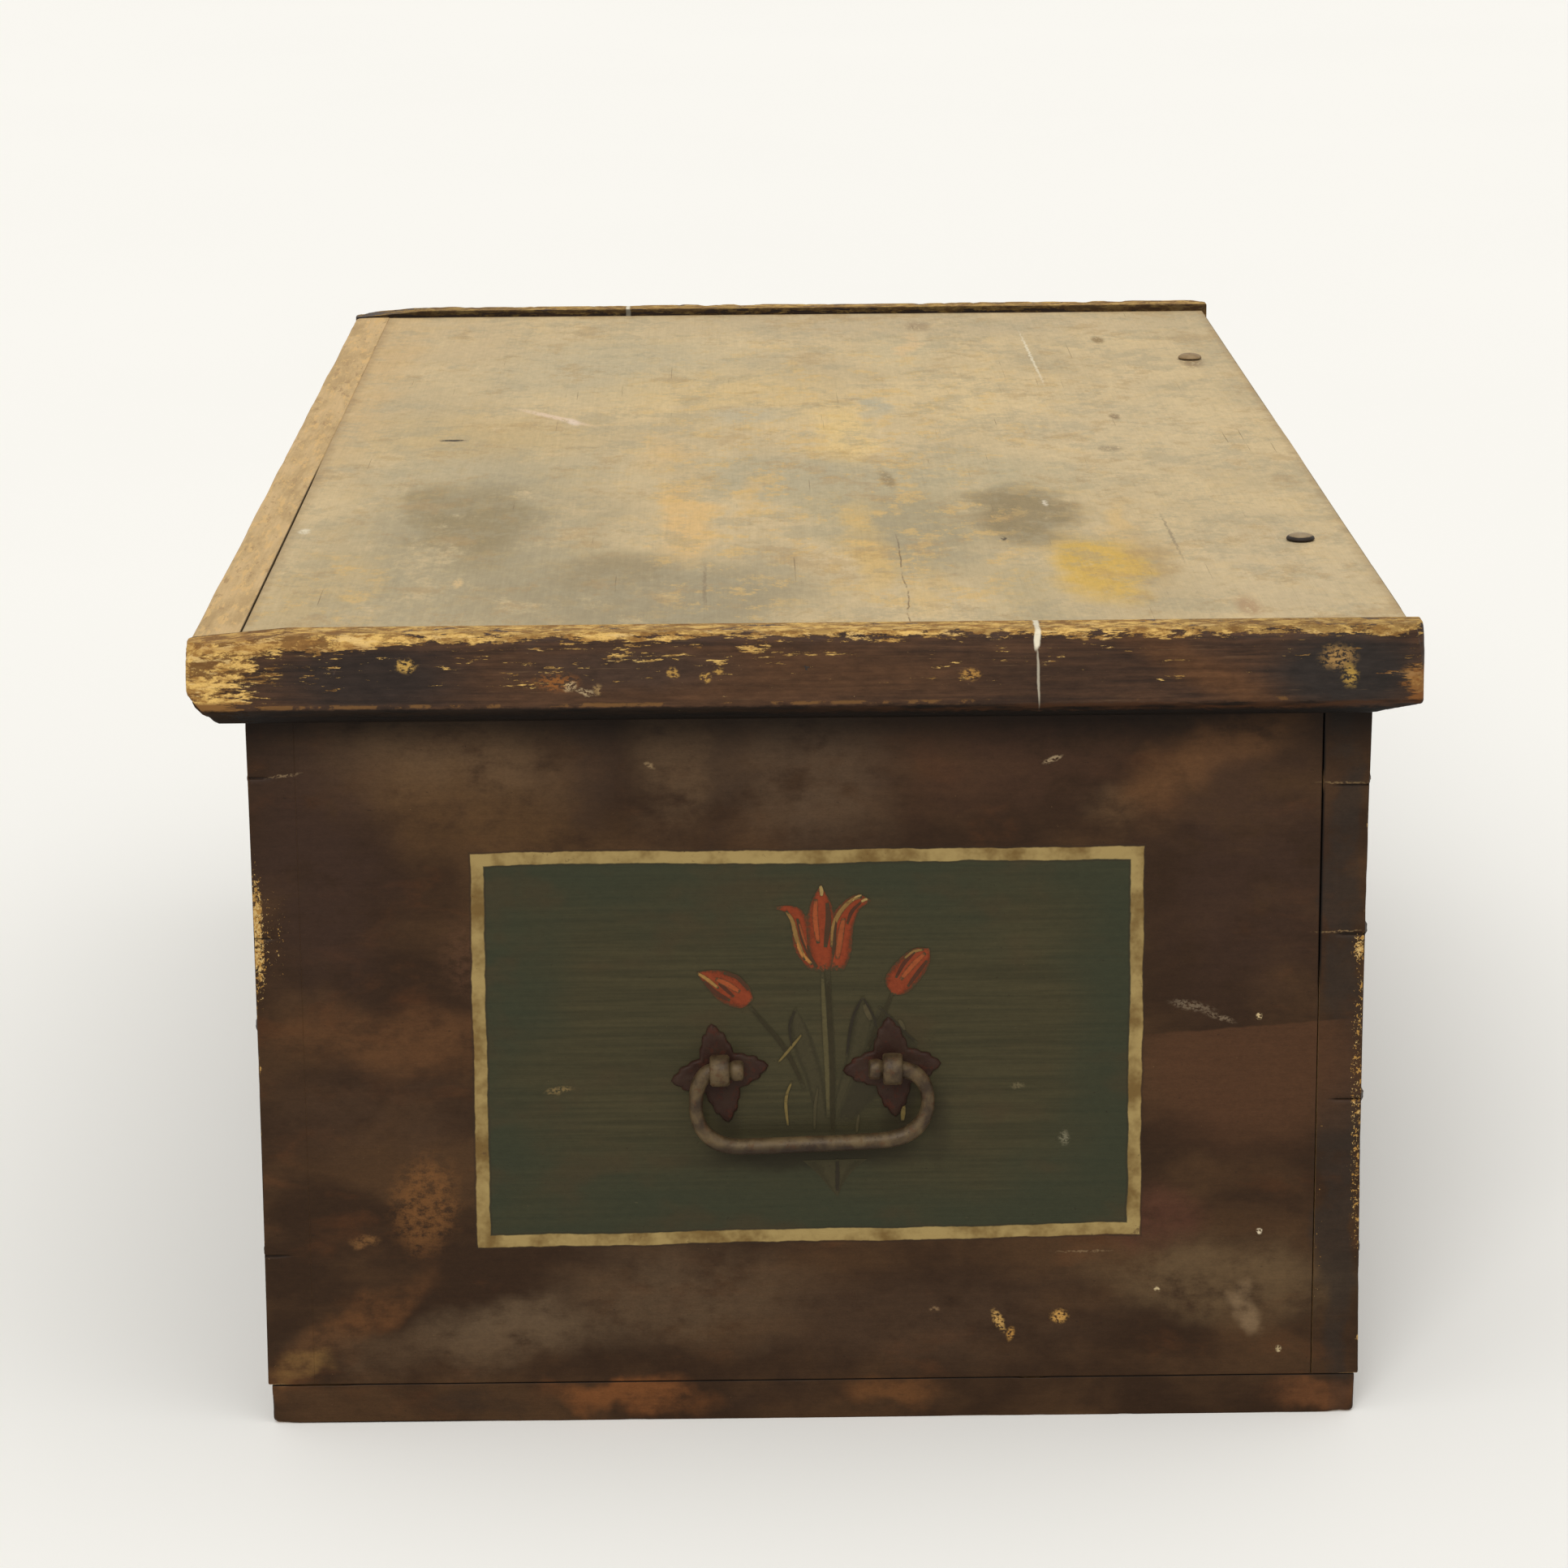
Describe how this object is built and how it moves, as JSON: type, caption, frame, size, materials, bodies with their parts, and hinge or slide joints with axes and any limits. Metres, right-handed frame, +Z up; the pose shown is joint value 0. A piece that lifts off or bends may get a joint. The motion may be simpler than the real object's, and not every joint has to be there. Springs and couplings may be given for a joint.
{
  "type": "blanket chest",
  "caption": "Low nailed board chest with an overhanging cleated lid on strap hinges, and an iron bail handle with pointed back plates on each end.",
  "frame": {"origin": "on the floor, under the middle of the lid's outline", "axes": "+X along the chest to its right end, +Y from the front to the hinged back, +Z up"},
  "size_m": [1.12, 0.606, 0.42],
  "materials": {
    "case_paint": "dark brown glazed paint, worn at the edges",
    "end_paint": "dark brown paint with an olive field in an ochre line, tulips painted inside",
    "bottom_wood": "stained softwood",
    "lid_wood": "weathered, worn bare, with grey-green patches",
    "batten_wood": "worn bare wood",
    "cleat_paint": "near-black brown paint, worn to ochre along the arris",
    "hinge_iron": "wrought, blackened",
    "plate_iron": "wrought, reddish brown paint",
    "bail_iron": "wrought, rubbed and rusted",
    "nail_iron": "hand forged"
  },
  "bodies": {
    "case": {"front_board": "case_paint", "back_board": "case_paint", "end_board_right": "end_paint", "end_board_left": "end_paint", "bottom_board_1": "bottom_wood", "bottom_board_2": "bottom_wood", "bottom_board_3": "bottom_wood", "bottom_board_4": "bottom_wood", "bottom_board_5": "bottom_wood", "bottom_board_6": "bottom_wood", "corner_nail_back_right_1": "nail_iron", "corner_nail_back_right_2": "nail_iron", "corner_nail_back_right_3": "nail_iron", "corner_nail_back_right_4": "nail_iron", "corner_nail_front_right_1": "nail_iron", "corner_nail_front_right_2": "nail_iron", "corner_nail_front_right_3": "nail_iron", "corner_nail_back_left_1": "nail_iron", "corner_nail_back_left_2": "nail_iron", "corner_nail_back_left_3": "nail_iron", "corner_nail_back_left_4": "nail_iron", "corner_nail_front_left_1": "nail_iron", "corner_nail_front_left_2": "nail_iron", "corner_nail_front_left_3": "nail_iron", "hinge_back_strap_right": "hinge_iron", "hinge_back_strap_left": "hinge_iron", "hinge_pin_right": "hinge_iron", "hinge_pin_left": "hinge_iron", "back_strap_nail_right_1": "nail_iron", "back_strap_nail_right_2": "nail_iron", "back_strap_nail_left_1": "nail_iron", "back_strap_nail_left_2": "nail_iron", "handle_plate_right_back": "plate_iron", "handle_plate_right_front": "plate_iron", "handle_plate_left_back": "plate_iron", "handle_plate_left_front": "plate_iron", "handle_eye_right_back": "bail_iron", "handle_eye_right_front": "bail_iron", "handle_eye_left_back": "bail_iron", "handle_eye_left_front": "bail_iron"},
    "lid": {"lid_main_board": "lid_wood", "lid_front_batten": "batten_wood", "lid_cleat_right": "cleat_paint", "lid_cleat_left": "cleat_paint", "hinge_lid_strap_right": "hinge_iron", "hinge_lid_strap_left": "hinge_iron", "hinge_rivet_right": "nail_iron", "hinge_rivet_left": "nail_iron", "lid_strap_nail_right": "nail_iron", "lid_strap_nail_left": "nail_iron", "cleat_nail_right_1": "nail_iron", "cleat_nail_right_2": "nail_iron", "cleat_nail_right_3": "nail_iron", "cleat_nail_left_1": "nail_iron", "cleat_nail_left_2": "nail_iron", "cleat_nail_left_3": "nail_iron", "batten_nail_1": "nail_iron", "batten_nail_2": "nail_iron"},
    "right_bail": {"bail_right": "bail_iron"},
    "left_bail": {"bail_left": "bail_iron"}
  },
  "joints": [
    {"name": "lid_hinge", "type": "hinge", "parent": "case", "child": "lid", "pos_m": [0, 0.28865, 0.38695], "axis": [-1, 0, 0], "range_deg": [0, 110]},
    {"name": "right_bail_swing", "type": "hinge", "parent": "case", "child": "right_bail", "pos_m": [0.5408, -0.001, 0.191], "axis": [0, -1, 0], "range_deg": [-8, 188]},
    {"name": "left_bail_swing", "type": "hinge", "parent": "case", "child": "left_bail", "pos_m": [-0.5408, -0.001, 0.191], "axis": [0, 1, 0], "range_deg": [-8, 188]}
  ]
}
